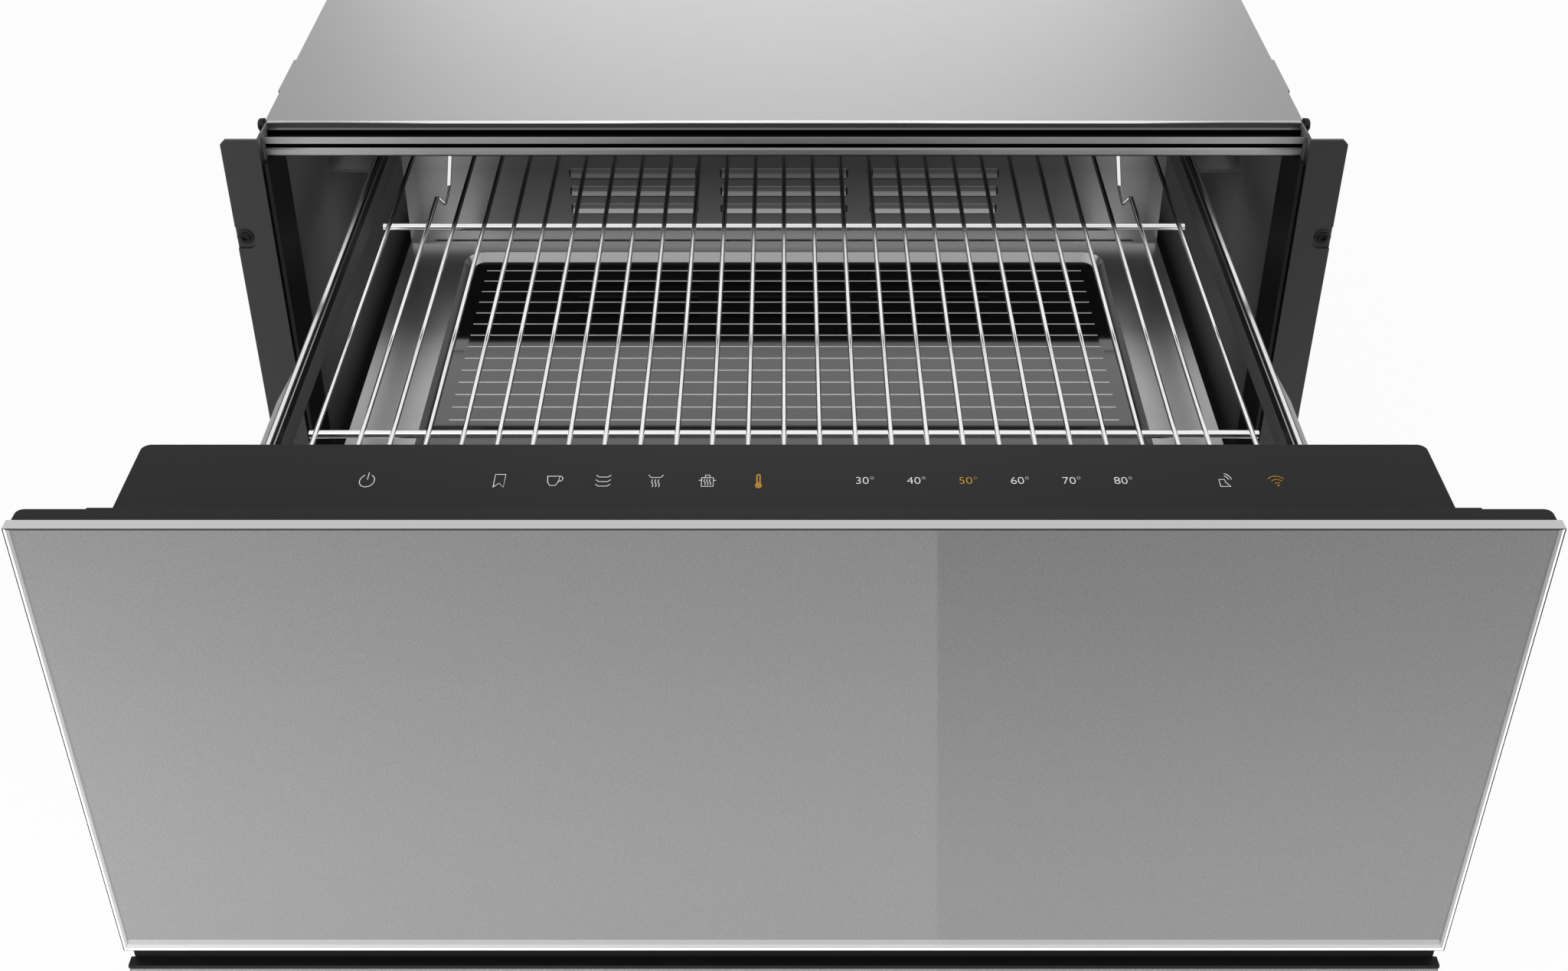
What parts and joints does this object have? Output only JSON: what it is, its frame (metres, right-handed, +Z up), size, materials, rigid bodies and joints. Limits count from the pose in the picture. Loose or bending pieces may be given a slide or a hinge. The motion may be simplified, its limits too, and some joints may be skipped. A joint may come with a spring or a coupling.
{
  "type": "warming drawer",
  "caption": "Built-in warming drawer with a glass front, a touch control strip, a wire rack over a heated glass plate and telescopic slides, shown pulled out.",
  "frame": {"origin": "middle of the housing's underside, where the appliance stands in its niche", "axes": "+X right, +Y from the drawer front towards the back of the niche, +Z up"},
  "size_m": [0.59, 0.884, 0.29],
  "materials": {
    "satin_steel": "fine satin",
    "galvanised_steel": "galvanised",
    "header_aluminium": "anodised",
    "seal_rubber": "matt",
    "black_steel": "powder coated",
    "black_screw": "black oxide",
    "slide_steel": "zinc plated",
    "polished_rail": "polished",
    "silver_glass": "back-printed metallic silver",
    "black_plastic": "fine texture",
    "black_panel": "satin black",
    "circuit_board": "solder resist",
    "tray_steel": "brushed stainless",
    "black_glass_ceramic": "glossy black",
    "heater_foil": "foil",
    "insulation_felt": "mineral felt",
    "motor_steel": "semi matt",
    "fan_aluminium": "pressed",
    "rack_chrome": "bright chrome plated",
    "grey_plastic": "moulded"
  },
  "bodies": {
    "housing": {"base_pan": "galvanised_steel", "side_panel_left": "galvanised_steel", "side_panel_right": "galvanised_steel", "back_panel": "galvanised_steel", "top_cover": "satin_steel", "header_profile": "header_aluminium", "header_seal": "seal_rubber", "side_trim_left": "black_steel", "mounting_bracket_left": "black_steel", "cabinet_screw_left_upper": "black_screw", "cabinet_screw_left_lower": "black_screw", "corner_screw_left": "black_screw", "slide_fixed_left": "slide_steel", "slide_bracket_left_front": "slide_steel", "slide_bracket_left_rear": "slide_steel", "side_trim_right": "black_steel", "mounting_bracket_right": "black_steel", "cabinet_screw_right_upper": "black_screw", "cabinet_screw_right_lower": "black_screw", "corner_screw_right": "black_screw", "slide_fixed_right": "slide_steel", "slide_bracket_right_front": "slide_steel", "slide_bracket_right_rear": "slide_steel", "push_latch_body": "grey_plastic", "terminal_box": "grey_plastic", "cable_gland": "black_plastic"},
    "drawer": {"side_rail_left": "polished_rail", "tray_bracket_left": "tray_steel", "side_rail_right": "polished_rail", "tray_bracket_right": "tray_steel", "front_glass": "silver_glass", "front_carrier": "black_plastic", "lower_ledge": "black_plastic", "lower_strip": "silver_glass", "door_inner_panel": "tray_steel", "control_housing": "black_plastic", "control_panel": "black_panel", "control_board": "circuit_board", "base_tray": "tray_steel", "plate_seal": "seal_rubber", "glass_ceramic_plate": "black_glass_ceramic", "heating_element": "heater_foil", "temperature_sensor": "slide_steel", "heat_shield": "galvanised_steel", "insulation_mat": "insulation_felt", "rear_panel": "tray_steel", "fan_cover": "galvanised_steel", "fan_motor": "motor_steel"},
    "slide_members": {"slide_middle_left": "slide_steel", "slide_middle_right": "slide_steel"},
    "rack": {"wire_rack": "rack_chrome", "rack_back_stop": "rack_chrome"},
    "fan_wheel": {"fan_wheel": "fan_aluminium"},
    "latch_plunger": {"push_latch_plunger": "black_plastic"}
  },
  "joints": [
    {"name": "drawer_slide", "type": "slide", "parent": "housing", "child": "drawer", "axis": [0, -1, 0], "range_m": [-0.33, 0.13]},
    {"name": "slide_extension", "type": "slide", "parent": "housing", "child": "slide_members", "axis": [0, -1, 0], "range_m": [-0.165, 0.065]},
    {"name": "rack_lift", "type": "slide", "parent": "drawer", "child": "rack", "axis": [0, 0, 1], "range_m": [0, 0.04]},
    {"name": "fan_spin", "type": "hinge", "parent": "drawer", "child": "fan_wheel", "pos_m": [0, -0.1, 0.1802], "axis": [0, 1, 0], "continuous": true},
    {"name": "latch_press", "type": "slide", "parent": "housing", "child": "latch_plunger", "axis": [0, 1, 0], "range_m": [0, 0.004], "stiffness_N_per_m": 400, "springref_m": -0.002}
  ],
  "couplings": [
    {"joint": "slide_extension", "follows": "drawer_slide", "ratio": 0.5}
  ]
}
